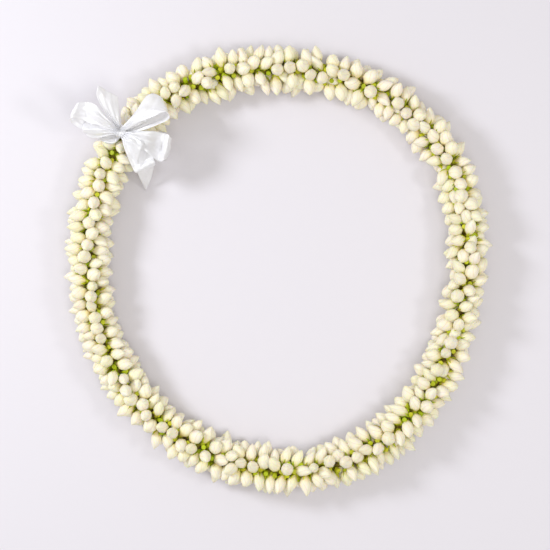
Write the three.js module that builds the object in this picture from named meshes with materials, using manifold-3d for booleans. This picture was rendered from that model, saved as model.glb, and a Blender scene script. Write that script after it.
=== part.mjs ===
// A round rope lei of jasmine buds, strung on a cotton thread and tied with a satin ribbon bow.
// Millimetres, +Z up. The lei lies flat: z = 0 is the surface under it, and the origin is
// the middle of its footprint.
import * as THREE from 'three';
import Module from 'manifold-3d';
import { mergeVertices } from 'three/addons/utils/BufferGeometryUtils.js';

const wasm = await Module();
wasm.setup();

// Driving dimensions
const ringRadius = 158.8;      // mean radius of the thread, so about a metre of lei
const ringWobble = [           // [lobes, cosine, sine]: how far the hand-laid ring is from a circle
  [2, -4.6, -0.8],
  [3, -0.9, 2.8],
  [4, -1.4, 1.2],
];
const knotAngle = 140;         // degrees round the ring, counter-clockwise from +X
const axisHeight = 16.8;       // thread above the surface

const segments = 22;           // bunches of buds, one node each
const whorlsPerSegment = 4;
const rows = 7;                // buds round the thread
const neck = 5.2;              // bare calyx stalks on each side of the ribbon's middle
const neckEnd = 1.7;           // the stalks stop short of the thread's knot
const clearance = 0.3;         // between neighbouring solids

const threadRadius = 0.5;
const boreRadius = 1.5;        // the way for the thread
const coreRadius = 6.2;        // packed calyx stalks that the buds stand out of
const bellyHeight = 11.6;      // heights along a bud, from the thread
const shoulderHeight = 15.5;
const tipHeight = 18.7;
const bellyRadius = 4.9;       // radii of a bud at its belly and shoulder
const shoulderRadius = 3.9;
const rowTwist = 0.35;         // radians by which the rows wander round the thread

const threadKnotRadius = 1.3;
const ribbonWidth = 22;
const ribbonThickness = 0.8;
const bandWidth = 5;           // the ribbon gathered round the core
const bandThickness = 1.2;
const gatheredWidth = 4;       // the ribbon where it goes through the knot
const knotHeight = 21.5;       // middle of the knot above the thread

// The thread's line, parametrised from the knot counter-clockwise
class RingLine extends THREE.Curve {
  getPoint(t, target = new THREE.Vector3()) {
    const angle = THREE.MathUtils.degToRad(knotAngle) + 2 * Math.PI * t;
    let radius = ringRadius;
    for (const [lobes, c, s] of ringWobble) {
      radius += c * Math.cos(lobes * angle) + s * Math.sin(lobes * angle);
    }
    return target.set(radius * Math.cos(angle), radius * Math.sin(angle), axisHeight);
  }
}
const ringLine = new RingLine();
ringLine.arcLengthDivisions = 2000;
const ringLength = ringLine.getLength();

// The point at a distance s along the thread, at an angle phi round it from the outside, r from it
function around(s, phi, r) {
  const u = THREE.MathUtils.euclideanModulo(s / ringLength, 1);
  const point = ringLine.getPointAt(u);
  const tangent = ringLine.getTangentAt(u);
  return new THREE.Vector3(
    point.x + r * Math.cos(phi) * tangent.y,
    point.y - r * Math.cos(phi) * tangent.x,
    point.z + r * Math.sin(phi),
  );
}

// A repeatable random number from 0 to 1
function seeded(seed) {
  let state = seed >>> 0;
  return () => {
    state = (state + 0x6d2b79f5) >>> 0;
    let t = Math.imul(state ^ (state >>> 15), 1 | state);
    t = (t + Math.imul(t ^ (t >>> 7), 61 | t)) ^ t;
    return ((t ^ (t >>> 14)) >>> 0) / 4294967296;
  };
}

// Collects points and triangles of one closed mesh
class MeshBuilder {
  constructor() {
    this.positions = [];
    this.triangles = [];
  }

  point(vector) {
    this.positions.push(vector.x, vector.y, vector.z);
    return this.positions.length / 3 - 1;
  }

  // Joins two closed loops, both counter-clockwise seen from outside. Each is a list of
  // { index, turn }, with turn from 0 to 1 round the loop, in rising order.
  stitch(lower, upper) {
    let i = 0;
    let j = 0;
    while (i < lower.length || j < upper.length) {
      const a = lower[i % lower.length];
      const b = upper[j % upper.length];
      const nextA = lower[(i + 1) % lower.length];
      const nextB = upper[(j + 1) % upper.length];
      const turnA = i < lower.length ? nextA.turn + (i + 1 >= lower.length ? 1 : 0) : Infinity;
      const turnB = j < upper.length ? nextB.turn + (j + 1 >= upper.length ? 1 : 0) : Infinity;
      if (turnA <= turnB) {
        this.triangles.push(a.index, nextA.index, b.index);
        i += 1;
      } else {
        this.triangles.push(a.index, nextB.index, b.index);
        j += 1;
      }
    }
  }

  // Walls between successive four-cornered rings. The two wide faces, 0 and 2, are split along
  // the same diagonal, so that a thin waved strip doesn't cross itself.
  strip(rings) {
    for (let k = 0; k + 1 < rings.length; k += 1) {
      rings[k].forEach((a, e) => {
        const f = (e + 1) % 4;
        const [b, c, d] = [rings[k][f], rings[k + 1][f], rings[k + 1][e]];
        if (e === 2) this.triangles.push(a, b, d, b, c, d);
        else this.triangles.push(a, b, c, a, c, d);
      });
    }
  }

  fan(loop, apex) {
    loop.forEach((corner, k) => {
      this.triangles.push(corner.index, loop[(k + 1) % loop.length].index, apex);
    });
  }

  geometry() {
    const geometry = new THREE.BufferGeometry();
    geometry.setAttribute('position', new THREE.Float32BufferAttribute(this.positions, 3));
    geometry.setIndex(this.triangles);
    return geometry;
  }
}

function toSolid(geometry) {
  const bare = geometry.clone();
  bare.deleteAttribute('normal');
  bare.deleteAttribute('uv');
  const merged = mergeVertices(bare, 1e-4);
  return new wasm.Manifold(new wasm.Mesh({
    numProp: 3,
    vertProperties: new Float32Array(merged.attributes.position.array),
    triVerts: new Uint32Array(merged.index.array),
  }));
}

function toGeometry(solid) {
  const mesh = solid.getMesh();
  const geometry = new THREE.BufferGeometry();
  geometry.setAttribute('position', new THREE.BufferAttribute(mesh.vertProperties, 3));
  geometry.setIndex(new THREE.BufferAttribute(mesh.triVerts, 1));
  return geometry;
}

const whorls = segments * whorlsPerSegment;
const pitch = (ringLength - 2 * neck) / whorls;
const rowAngle = (2 * Math.PI) / rows;

const twistAt = (s) => rowTwist * Math.sin((2 * Math.PI * s) / ringLength * 3)
  + 2 * rowTwist * Math.sin((2 * Math.PI * s) / ringLength);

// Buds next to the tight ribbon lean away from it
function lean(s) {
  const fromKnot = s > ringLength / 2 ? s - ringLength : s;
  return 3.2 * Math.sign(fromKnot) * Math.exp(-((fromKnot / 16) ** 2));
}

// One bud raised from its cell of the core: four corners, a belly, a shoulder and a tip
function addBud(builder, corners, s, phi, random) {
  const size = 0.94 + 0.06 * random();
  const slant = (random() - 0.5) * 2.4 + lean(s);
  const roll = (random() - 0.5) * 0.14;
  const length = (random() - 0.5) * 1.6;
  const spin = random();
  const ring = (count, height, radius, share) => Array.from({ length: count }, (_, k) => {
    const turn = (k + 0.5 * spin) / count;
    const along = radius * size * Math.cos(2 * Math.PI * turn);
    const across = radius * size * Math.sin(2 * Math.PI * turn);
    const place = around(s + slant * share + along, phi + roll * share + across / height, height);
    return { index: builder.point(place), turn };
  });
  const belly = ring(5, bellyHeight, bellyRadius, 0.3);
  const shoulder = ring(4, shoulderHeight + length / 2, shoulderRadius, 0.7);
  const tip = builder.point(around(s + slant, phi + roll, tipHeight + length));
  builder.stitch(corners, belly);
  builder.stitch(belly, shoulder);
  builder.fan(shoulder, tip);
}

// A length of the lei: the core with its way for the thread, and its buds
function bunch(number) {
  const builder = new MeshBuilder();
  const random = seeded(1000 + number);
  const firstWhorl = number * whorlsPerSegment;
  const start = neck + firstWhorl * pitch;
  const end = start + whorlsPerSegment * pitch;
  const stations = [];
  if (number === 0) stations.push(neckEnd);
  stations.push(number === 0 ? start : start + clearance / 2);
  for (let i = 1; i < whorlsPerSegment; i += 1) stations.push(start + i * pitch);
  stations.push(number === segments - 1 ? end : end - clearance / 2);
  if (number === segments - 1) stations.push(ringLength - neckEnd);

  const firstBudStation = number === 0 ? 1 : 0;
  const grid = stations.map((s) => Array.from({ length: rows }, (_, j) => {
    const phi = twistAt(s) + (j - 0.5) * rowAngle;
    return builder.point(around(s, phi, coreRadius));
  }));
  const corner = (i, j, turn) => ({ index: grid[i][j % rows], turn });

  for (let i = 0; i + 1 < stations.length; i += 1) {
    const whorl = i - firstBudStation;
    for (let j = 0; j < rows; j += 1) {
      if (whorl < 0 || whorl >= whorlsPerSegment) {
        const [a, b, c, d] = [grid[i][j], grid[i + 1][j], grid[i + 1][(j + 1) % rows], grid[i][(j + 1) % rows]];
        builder.triangles.push(a, b, c, a, c, d);
      } else {
        const stagger = j === rows - 1 ? 0 : (j % 2 ? 0.25 : -0.25);
        const s = start + (whorl + 0.5 + stagger) * pitch;
        const corners = [
          corner(i + 1, j + 1, 0.125), corner(i, j + 1, 0.375), corner(i, j, 0.625), corner(i + 1, j, 0.875),
        ];
        addBud(builder, corners, s, twistAt(s) + j * rowAngle, random);
      }
    }
  }

  // The way for the thread, and the two end faces
  const boreSides = 6;
  const boreStations = stations.filter((_, i) => i === 0 || i === stations.length - 1 || i % 2 === 0);
  const bore = boreStations.map((s) => Array.from({ length: boreSides }, (_, k) => ({
    index: builder.point(around(s, (2 * Math.PI * k) / boreSides, boreRadius)),
    turn: k / boreSides,
  })));
  for (let i = 0; i + 1 < bore.length; i += 1) builder.stitch(bore[i], bore[i + 1]);
  const rim = (i) => grid[i].map((index, j) => ({
    index,
    turn: THREE.MathUtils.euclideanModulo((j - 0.5) / rows + twistAt(stations[i]) / (2 * Math.PI), 1),
  })).sort((a, b) => a.turn - b.turn);
  const reversed = (loop) => loop.map(({ index, turn }) => ({ index, turn: 1 - turn })).reverse();
  const last = stations.length - 1;
  builder.stitch(reversed(rim(last)), reversed(bore[bore.length - 1]));
  builder.stitch(rim(0), bore[0]);
  return builder.geometry();
}

// The tips that the lei lies on are pressed flat by the surface
const surface = new THREE.BoxGeometry(600, 600, 20);
surface.translate(0, 0, -10);
const surfaceSolid = toSolid(surface);

// The cotton thread, tied in a knot where the two ends of the lei meet
function thread() {
  const section = new THREE.Shape();
  section.absarc(0, 0, threadRadius, 0, 2 * Math.PI, false);
  const reach = 0.6 / ringLength;                    // each end runs into the knot
  const points = Array.from({ length: 97 }, (_, k) => (
    ringLine.getPointAt(reach + (1 - 2 * reach) * (k / 96))
  ));
  const run = new THREE.ExtrudeGeometry(section, {
    steps: 48,
    curveSegments: 4,
    bevelEnabled: false,
    extrudePath: new THREE.CatmullRomCurve3(points),
  });
  const knot = new THREE.SphereGeometry(threadKnotRadius, 6, 5);
  knot.translate(...ringLine.getPointAt(0).toArray());
  return toGeometry(toSolid(run).add(toSolid(knot)));
}

// A stretch of ribbon as a closed strip. Each station is [x, y, z, side, width], with side a
// vector across the ribbon.
function ribbonStretch(stations, steps) {
  const middle = new THREE.CatmullRomCurve3(stations.map((st) => new THREE.Vector3(st[0], st[1], st[2])));
  const across = new THREE.CatmullRomCurve3(stations.map((st) => st[3].clone().multiplyScalar(st[4] / 2)));
  const builder = new MeshBuilder();
  const rings = Array.from({ length: steps + 1 }, (_, k) => {
    const centre = middle.getPoint(k / steps);
    const tangent = middle.getTangent(k / steps);
    const side = across.getPoint(k / steps);
    side.addScaledVector(tangent, -side.dot(tangent));
    const up = new THREE.Vector3().crossVectors(side, tangent).setLength(ribbonThickness / 2);
    return [[-1, 1], [1, 1], [1, -1], [-1, -1]].map(([edge, face]) => builder.point(
      centre.clone().addScaledVector(side, edge).addScaledVector(up, face),
    ));
  });
  builder.strip(rings);
  const [first, last] = [rings[0], rings[steps]];
  builder.triangles.push(first[0], first[2], first[1], first[0], first[3], first[2]);
  builder.triangles.push(last[0], last[1], last[2], last[0], last[2], last[3]);
  return toSolid(builder.geometry());
}

// The bow: places are from the middle of its knot, headings in degrees from +X
const knotPlace = ringLine.getPointAt(0).add(new THREE.Vector3(0, 0, knotHeight));
const bowLoops = [
  { heading: 34, reach: 42, rise: 15, sink: 1.0, tilt: 12, width: 22, seat: 0.9 },
  { heading: -13, reach: 40, rise: 11, sink: 0.5, tilt: -10, width: 22, seat: -0.4 },
  { heading: -53, reach: 33, rise: 13, sink: 0.8, tilt: -8, width: 20, seat: 0.5 },
  { heading: 155, reach: 39, rise: 15, sink: 1.0, tilt: -16, width: 21, seat: 0.7 },
  { heading: 190, reach: 28, rise: 7, sink: 0.6, tilt: 12, width: 20, seat: -0.2 },
];

function inHeading(heading, along, side, height) {
  const a = THREE.MathUtils.degToRad(heading);
  return new THREE.Vector3(
    along * Math.cos(a) - side * Math.sin(a),
    along * Math.sin(a) + side * Math.cos(a),
    height,
  );
}

// A loop leaves the top of the knot, arches out to its fold and comes back underneath
function bowLoop({ heading, reach, rise, sink, tilt, width, seat }) {
  const roll = THREE.MathUtils.degToRad(tilt);
  const flat = inHeading(heading, 0, 1, 0);
  const tilted = inHeading(heading, 0, Math.cos(roll), Math.sin(roll));
  const profile = [
    [0.5, seat + 0.9, flat, gatheredWidth],
    [0.22 * reach, 0.6 * rise, flat, 0.4 * width],
    [0.5 * reach, 0.95 * rise, tilted, width],
    [0.8 * reach, 0.95 * rise, tilted, width],
    [reach, 0.45 * rise, tilted, width],
    [0.86 * reach, 0.04 * rise, tilted, width],
    [0.5 * reach, -sink, tilted, 0.85 * width],
    [0.22 * reach, -sink, flat, 0.38 * width],
    [0.5, seat - 0.9, flat, gatheredWidth],
  ];
  const lift = Math.abs(Math.sin(roll)) * width * 0.5;
  return ribbonStretch(profile.map(([along, height, side, wide]) => {
    const raised = height + lift * Math.min(1, along / (0.5 * reach));
    const place = inHeading(heading, along, 0, raised).add(knotPlace);
    return [place.x, place.y, place.z, side, wide];
  }), 11);
}

const tailUp = [                 // along, height, sideways tilt in degrees, width
  [1, 0, 0, 5],
  [10, 3, 30, 12],
  [22, 9, 55, 18],
  [33, 12, 65, 20],
  [41, 11, 60, 20],
];
const tailDown = [
  [1, -1, 0, 5],
  [9, 0.2, 0, 12],
  [19, -1.5, 0, 18],
  [28, -10, 0, 19],
  [36, -22, 0, 14],
  [42, -32, 0, 7],
  [45, -37, 0, 1.2],
];

function bowTail(heading, stations, steps) {
  return ribbonStretch(stations.map(([along, height, tilt, wide]) => {
    const roll = THREE.MathUtils.degToRad(tilt);
    const place = inHeading(heading, along, 0, height).add(knotPlace);
    return [place.x, place.y, place.z, inHeading(heading, 0, Math.cos(roll), Math.sin(roll)), wide];
  }), steps);
}

// The gathered ribbon round the core, drawn up to the knot
function ribbonBand() {
  const steps = 14;
  const wrap = (coreRadius + clearance) / Math.cos(Math.PI / steps) + bandThickness / 2;
  const builder = new MeshBuilder();
  const rings = Array.from({ length: steps }, (_, k) => {
    const phi = Math.PI / 2 + (2 * Math.PI * k) / steps;
    const towardsKnot = Math.max(0, Math.sin(phi)) ** 6;
    const r = wrap + towardsKnot * (knotHeight - wrap);
    const place = (s, lift) => builder.point(around(s, phi, r + lift));
    const halfWidth = bandWidth / 2 - 0.5 * towardsKnot;
    const half = bandThickness / 2;
    return [place(-halfWidth, half), place(halfWidth, half), place(halfWidth, -half), place(-halfWidth, -half)];
  });
  builder.strip([...rings, rings[0]]);
  return toSolid(builder.geometry());
}

function ribbonBow() {
  const knot = new THREE.SphereGeometry(1, 8, 6);
  knot.scale(5.2, 4.6, 4.4);
  knot.translate(...knotPlace.toArray());
  let bow = toSolid(knot).add(ribbonBand());
  for (const loop of bowLoops) bow = bow.add(bowLoop(loop));
  bow = bow.add(bowTail(109, tailUp, 6));
  bow = bow.add(bowTail(-70, tailDown, 9));
  return toGeometry(bow);
}

const lei = new THREE.Group();

function addPiece(name, geometry, material) {
  const mesh = new THREE.Mesh(geometry, material);
  mesh.name = name;
  lei.add(mesh);
}

addPiece('thread', thread(), new THREE.MeshStandardMaterial({ color: 0xe9e2cf, roughness: 0.9 }));
for (let number = 0; number < segments; number += 1) {
  const name = `buds_${String(number + 1).padStart(2, '0')}`;
  const budMaterial = new THREE.MeshStandardMaterial({ color: 0xf1ebcf, roughness: 0.55 });
  addPiece(name, toGeometry(toSolid(bunch(number)).subtract(surfaceSolid)), budMaterial);
}
addPiece('ribbon_bow', ribbonBow(), new THREE.MeshStandardMaterial({ color: 0xf6f5fb, roughness: 0.3 }));

// The origin is the middle of the footprint
const footprint = new THREE.Box3().setFromObject(lei).getCenter(new THREE.Vector3());
lei.position.set(-footprint.x, -footprint.y, 0);

export default lei;
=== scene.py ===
import math

import bpy
import numpy as np
from mathutils import Matrix, Vector


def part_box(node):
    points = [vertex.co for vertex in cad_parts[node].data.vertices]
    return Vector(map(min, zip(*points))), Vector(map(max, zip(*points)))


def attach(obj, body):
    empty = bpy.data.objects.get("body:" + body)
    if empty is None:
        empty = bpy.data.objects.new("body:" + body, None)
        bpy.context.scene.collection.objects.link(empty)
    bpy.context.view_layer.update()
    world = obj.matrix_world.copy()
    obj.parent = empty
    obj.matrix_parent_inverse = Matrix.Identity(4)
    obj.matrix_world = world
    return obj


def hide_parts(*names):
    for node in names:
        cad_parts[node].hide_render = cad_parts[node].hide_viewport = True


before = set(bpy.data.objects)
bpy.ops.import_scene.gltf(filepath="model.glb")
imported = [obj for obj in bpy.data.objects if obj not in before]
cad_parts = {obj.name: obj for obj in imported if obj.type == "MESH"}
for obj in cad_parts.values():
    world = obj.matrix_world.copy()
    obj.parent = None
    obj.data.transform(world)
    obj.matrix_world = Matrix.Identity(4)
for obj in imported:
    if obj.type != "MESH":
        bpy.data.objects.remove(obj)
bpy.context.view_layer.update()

scene = bpy.context.scene
fullTurn = 2 * math.pi

lei = {
    "meanRadius": 0.1588,
    "wobble": [(2, -0.0046, -0.0008), (3, -0.0009, 0.0028), (4, -0.0014, 0.0012)],  # lobes, cos, sin
    "knotAngle": 140,       # degrees round the ring, counter-clockwise from +X
    "knotHeight": 0.0215,   # middle of the ribbon's knot above the thread
    "lineSteps": 4000,
    "bunches": 22,
    "whorls": 112,
    "rows": 6,
    "neck": 0.0052,         # bare stalks on each side of the ribbon
    "neckEnd": 0.0017,      # the stalks stop short of the thread's knot
    "rowTwist": 0.35,       # radians by which the rows wander round the thread
    "coreRadius": 0.0048,
}


def ringRadius(angle):
    radius = np.full_like(angle, lei["meanRadius"])
    for lobes, c, s in lei["wobble"]:
        radius += c * np.cos(lobes * angle) + s * np.sin(lobes * angle)
    return radius


def ringTables():
    # distance, place and tangent along the thread, from the knot and back to it
    angle = math.radians(lei["knotAngle"]) + np.linspace(0, fullTurn, lei["lineSteps"] + 1)
    radius = ringRadius(angle)
    line = np.stack([radius * np.cos(angle), radius * np.sin(angle)], 1)
    low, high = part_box("thread")
    middle = (np.array(low) + np.array(high)) / 2
    line += middle[:2] - (line.min(0) + line.max(0)) / 2
    distance = np.concatenate([[0], np.cumsum(np.linalg.norm(np.diff(line, axis=0), axis=1))])
    tangent = np.gradient(line, axis=0)
    tangent /= np.linalg.norm(tangent, axis=1)[:, None]
    return distance, line, tangent, float(middle[2])


ringDistance, ringPlace, ringTangent, axisHeight = ringTables()
ringLength = float(ringDistance[-1])


def frameAt(s):
    # place, outward and up vectors and tangent at distances s along the thread
    s = np.mod(np.asarray(s, float), ringLength)
    place = np.stack([np.interp(s, ringDistance, ringPlace[:, k]) for k in (0, 1)]
                     + [np.full_like(s, axisHeight)], -1)
    tangent = np.stack([np.interp(s, ringDistance, ringTangent[:, k]) for k in (0, 1)]
                       + [np.zeros_like(s)], -1)
    tangent /= np.linalg.norm(tangent, axis=-1, keepdims=True)
    outward = np.stack([tangent[..., 1], -tangent[..., 0], np.zeros_like(s)], -1)
    up = np.zeros_like(outward)
    up[..., 2] = 1
    return place, outward, up, tangent


def spread(outward, up, angle):
    # the vector at an angle round the thread, from the outside
    return np.cos(angle)[..., None] * outward + np.sin(angle)[..., None] * up


def around(s, phi, r):
    # the point at distance s along the thread, angle phi round it from the outside, r away
    place, outward, up, _ = frameAt(s)
    return place + np.asarray(r, float)[..., None] * spread(outward, up, np.asarray(phi, float))


def twistAt(s):
    turn = fullTurn * s / ringLength
    return lei["rowTwist"] * np.sin(3 * turn) + 2 * lei["rowTwist"] * np.sin(turn)


knotPlace = around(0, math.pi / 2, lei["knotHeight"])
bunchLength = (ringLength - 2 * lei["neck"]) / lei["bunches"]


def bunchOf(s):
    return int(min(lei["bunches"] - 1, max(0, (s - lei["neck"]) // bunchLength)))


# small helpers for meshes
def onlySelect(*objects):
    if bpy.context.object and bpy.context.object.mode != "OBJECT":
        bpy.ops.object.mode_set(mode="OBJECT")
    bpy.ops.object.select_all(action="DESELECT")
    for o in objects:
        o.select_set(True)
    if objects:
        bpy.context.view_layer.objects.active = objects[0]


def points(mesh):
    co = np.zeros(len(mesh.vertices) * 3)
    mesh.vertices.foreach_get("co", co)
    return co.reshape(-1, 3)


def putPoints(mesh, co):
    mesh.vertices.foreach_set("co", np.asarray(co, float).ravel())
    mesh.update()


def addFloat(mesh, name, value):
    layer = mesh.attributes.get(name) or mesh.attributes.new(name, "FLOAT", "POINT")
    layer.data.foreach_set("value", np.full(len(mesh.vertices), float(value)))


def copyOf(source):
    made = source.copy()
    made.data = source.data.copy()
    bpy.context.collection.objects.link(made)
    return made


def joinAll(name, copies):
    onlySelect(*copies)
    bpy.ops.object.join()
    made = bpy.context.object
    made.name = made.data.name = name
    return made


def drawRings(name, sides, rings, swirl=0):
    # a circle drawn up through rings of (height, radius), each turned by swirl radians a metre,
    # and closed to a point at a ring of no radius
    (before, wide), upper = rings[0], rings[1:]
    onlySelect()
    bpy.ops.mesh.primitive_circle_add(vertices=sides, radius=wide, fill_type="NGON",
                                      location=(0, 0, before))
    made = bpy.context.object
    made.name = name
    bpy.ops.object.mode_set(mode="EDIT")
    bpy.ops.mesh.select_all(action="SELECT")
    for height, radius in upper:
        bpy.ops.mesh.extrude_region_move(TRANSFORM_OT_translate={"value": (0, 0, height - before)})
        top = (0, 0, height)
        if radius == 0:
            bpy.ops.mesh.merge(type="CENTER")
        elif radius != wide:
            bpy.ops.transform.resize(value=(radius / wide, radius / wide, 1), center_override=top)
        if swirl and radius:
            bpy.ops.transform.rotate(value=swirl * (height - before), orient_axis="Z",
                                     center_override=top)
        before, wide = height, radius
    bpy.ops.mesh.select_all(action="SELECT")
    bpy.ops.mesh.normals_make_consistent(inside=False)
    bpy.ops.object.mode_set(mode="OBJECT")
    bpy.ops.object.transform_apply(location=True, rotation=True, scale=True)
    return made


# small helpers for shaders: a value is a link, a colour or a number
def feed(tree, value, socket):
    if hasattr(value, "node"):
        tree.links.new(value, socket)
    else:
        socket.default_value = (*value, 1) if hasattr(value, "__len__") else value


def mathNode(tree, operation, *values):
    node = tree.nodes.new("ShaderNodeMath")
    node.operation = operation
    for k, value in enumerate(values):
        feed(tree, value, node.inputs[k])
    return node.outputs[0]


def mixColour(tree, factor, a, b):
    node = tree.nodes.new("ShaderNodeMix")
    node.data_type = "RGBA"
    for k, value in ((0, factor), (6, a), (7, b)):    # the factor's and the two colours' sockets
        feed(tree, value, node.inputs[k])
    return node.outputs[2]


def ramp(tree, value, stops):
    node = tree.nodes.new("ShaderNodeValToRGB")
    while len(node.color_ramp.elements) < len(stops):
        node.color_ramp.elements.new(0.5)
    for element, (place, colour) in zip(node.color_ramp.elements, stops):
        element.position = place
        element.color = (*colour, 1) if hasattr(colour, "__len__") else (colour, colour, colour, 1)
    feed(tree, value, node.inputs[0])
    return node.outputs[0]


def noise(tree, scale, detail, vector):
    node = tree.nodes.new("ShaderNodeTexNoise")
    for label, value in (("Scale", scale), ("Detail", detail), ("Vector", vector)):
        feed(tree, value, node.inputs[label])
    return node.outputs[0]


def attribute(tree, name):
    node = tree.nodes.new("ShaderNodeAttribute")
    node.attribute_name = name
    return node.outputs["Fac"]


def uvMap(tree, name):
    node = tree.nodes.new("ShaderNodeUVMap")
    node.uv_map = name
    return node.outputs[0]


def newMaterial(name):
    material = bpy.data.materials.new(name)
    material.use_nodes = True
    tree = material.node_tree
    return material, tree, tree.nodes["Principled BSDF"]


def setShader(shader, **values):
    for label, value in values.items():
        shader.inputs[label.replace("_", " ")].default_value = value


def bump(tree, height, strength, distance, shader):
    node = tree.nodes.new("ShaderNodeBump")
    for label, value in (("Height", height), ("Strength", strength), ("Distance", distance)):
        feed(tree, value, node.inputs[label])
    tree.links.new(node.outputs["Normal"], shader.inputs["Normal"])


def mottleGroup():
    # soft patches of a second colour, and their mask, which also serves as a height
    tree = bpy.data.node_groups.new("mottle", "ShaderNodeTree")
    for label, kind in (("Colour", "Color"), ("Patch Colour", "Color"), ("Scale", "Float"),
                        ("Detail", "Float"), ("From", "Float"), ("To", "Float"), ("Amount", "Float")):
        tree.interface.new_socket(label, in_out="INPUT", socket_type="NodeSocket" + kind)
    for label, kind in (("Colour", "Color"), ("Mask", "Float")):
        tree.interface.new_socket(label, in_out="OUTPUT", socket_type="NodeSocket" + kind)
    given = tree.nodes.new("NodeGroupInput").outputs
    result = tree.nodes.new("NodeGroupOutput").inputs
    place = tree.nodes.new("ShaderNodeTexCoord").outputs["Object"]
    patches = noise(tree, given["Scale"], given["Detail"], place)
    clear = tree.nodes.new("ShaderNodeMapRange")
    for label, value in (("Value", patches), ("From Min", given["From"]), ("From Max", given["To"])):
        feed(tree, value, clear.inputs[label])
    amount = mathNode(tree, "MULTIPLY", clear.outputs[0], given["Amount"])
    feed(tree, mixColour(tree, amount, given["Colour"], given["Patch Colour"]), result["Colour"])
    feed(tree, patches, result["Mask"])
    return tree


mottleTree = mottleGroup()


def mottle(tree, scale, detail, colour=(0, 0, 0), patchColour=(1, 1, 1), amount=1.0, clear=(0.0, 1.0)):
    node = tree.nodes.new("ShaderNodeGroup")
    node.node_tree = mottleTree
    for label, value in (("Colour", colour), ("Patch Colour", patchColour), ("Scale", scale),
                         ("Detail", detail), ("Amount", amount), ("From", clear[0]), ("To", clear[1])):
        feed(tree, value, node.inputs[label])
    return node.outputs["Colour"], node.outputs["Mask"]


petalLook = {
    "tube": (0.85, 0.48, 0.08),
    "throat": (0.965, 0.80, 0.36),
    "belly": (0.948, 0.88, 0.662),
    "cheek": (0.94, 0.885, 0.785),
    "tip": (0.945, 0.893, 0.69),
    "green": (0.87, 0.90, 0.55),
    "blush": (0.99, 0.86, 0.77),
    # the seam colour is partly the petal edges' own tint and partly painted shade in the creases between
    # overlapping petals
    "seamTintAndShade": (0.80, 0.66, 0.42),
    "greenShare": 0.6,
    "blushShare": 0.5,
    "mottle": (420.0, 4.0),       # scale and detail
    "mottleShare": 0.16,
    "petals": 5.0,
    "wind": 1.6,                  # how far a petal's edge winds from the base to the tip
    "seamShare": 0.7,
    "relief": (0.8, 0.0008),      # strength and distance
}


def petalMaterial():
    look = petalLook
    material, tree, shader = newMaterial("petal")
    split = tree.nodes.new("ShaderNodeSeparateXYZ")
    feed(tree, uvMap(tree, "petals"), split.inputs[0])
    turn, rise = split.outputs[0], split.outputs[1]
    # colour along the bud from base to tip: the deeper, more saturated yellow toward the base is partly
    # the bud's own colour and partly painted shade where the buds crowd together at their bases
    body = ramp(tree, rise, [(0.06, look["tube"]), (0.22, look["throat"]), (0.42, look["belly"]),
                             (0.72, look["cheek"]), (0.97, look["tip"])])
    # the blush attribute holds each bud's own blush plus painted warm light round one part of the ring
    for name, share, colour in (("tone", look["greenShare"], look["green"]),
                                ("blush", look["blushShare"], look["blush"])):
        body = mixColour(tree, mathNode(tree, "MULTIPLY", attribute(tree, name), share), body, colour)
    body, _ = mottle(tree, *look["mottle"], body, look["throat"], look["mottleShare"])
    # the edge of each petal winds round the bud; the darker, warmer line along it is partly the edge's
    # own tint and partly painted shade in the crease where one petal overlaps the next
    winding = mathNode(tree, "ADD", mathNode(tree, "MULTIPLY", turn, look["petals"]),
                       mathNode(tree, "MULTIPLY", rise, look["wind"]))
    across = mathNode(tree, "FRACT", winding)
    seamTintAndShade = ramp(tree, across, [(0.0, 1.0), (0.07, 0.0), (0.93, 0.0), (1.0, 1.0)])
    body = mixColour(tree, mathNode(tree, "MULTIPLY", seamTintAndShade, look["seamShare"]), body, look["seamTintAndShade"])
    feed(tree, body, shader.inputs["Base Color"])
    bump(tree, across, *look["relief"], shader)
    setShader(shader, Roughness=0.42, Specular_IOR_Level=0.45, Subsurface_Weight=0.42,
              Subsurface_Radius=(1.0, 0.80, 0.34), Subsurface_Scale=0.0045, Sheen_Weight=0.06)
    return material


calyxLook = {
    "green": (0.42, 0.60, 0.008),
    "yellow": (0.72, 0.72, 0.04),
    "dark": (0.22, 0.20, 0.004),
    "patches": (160.0, 3.0),
    "darkShare": 0.5,
    "darkRange": (0.3, 0.7),      # the patches' noise between these turns dark
    "relief": (0.3, 0.0004),
}


def calyxMaterial():
    look = calyxLook
    material, tree, shader = newMaterial("calyx")
    green = mixColour(tree, attribute(tree, "tone"), look["green"], look["yellow"])
    green, patches = mottle(tree, *look["patches"], green, look["dark"], look["darkShare"],
                            look["darkRange"])
    feed(tree, green, shader.inputs["Base Color"])
    bump(tree, patches, *look["relief"], shader)
    setShader(shader, Roughness=0.5, Specular_IOR_Level=0.28, Subsurface_Weight=0.3,
              Subsurface_Radius=(0.8, 1.0, 0.2), Subsurface_Scale=0.003)
    return material


satinLook = {
    "light": (0.945, 0.95, 0.99),
    "shade": (0.89, 0.90, 0.955),
    "shadeShare": 0.3,
    "weave": (9000, 500, 1),      # threads a metre across and along the ribbon
    "weaveDetail": 2.0,
    "roughness": [(0.3, 0.29), (0.7, 0.38)],
    "relief": (0.12, 0.0001),
}


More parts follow.
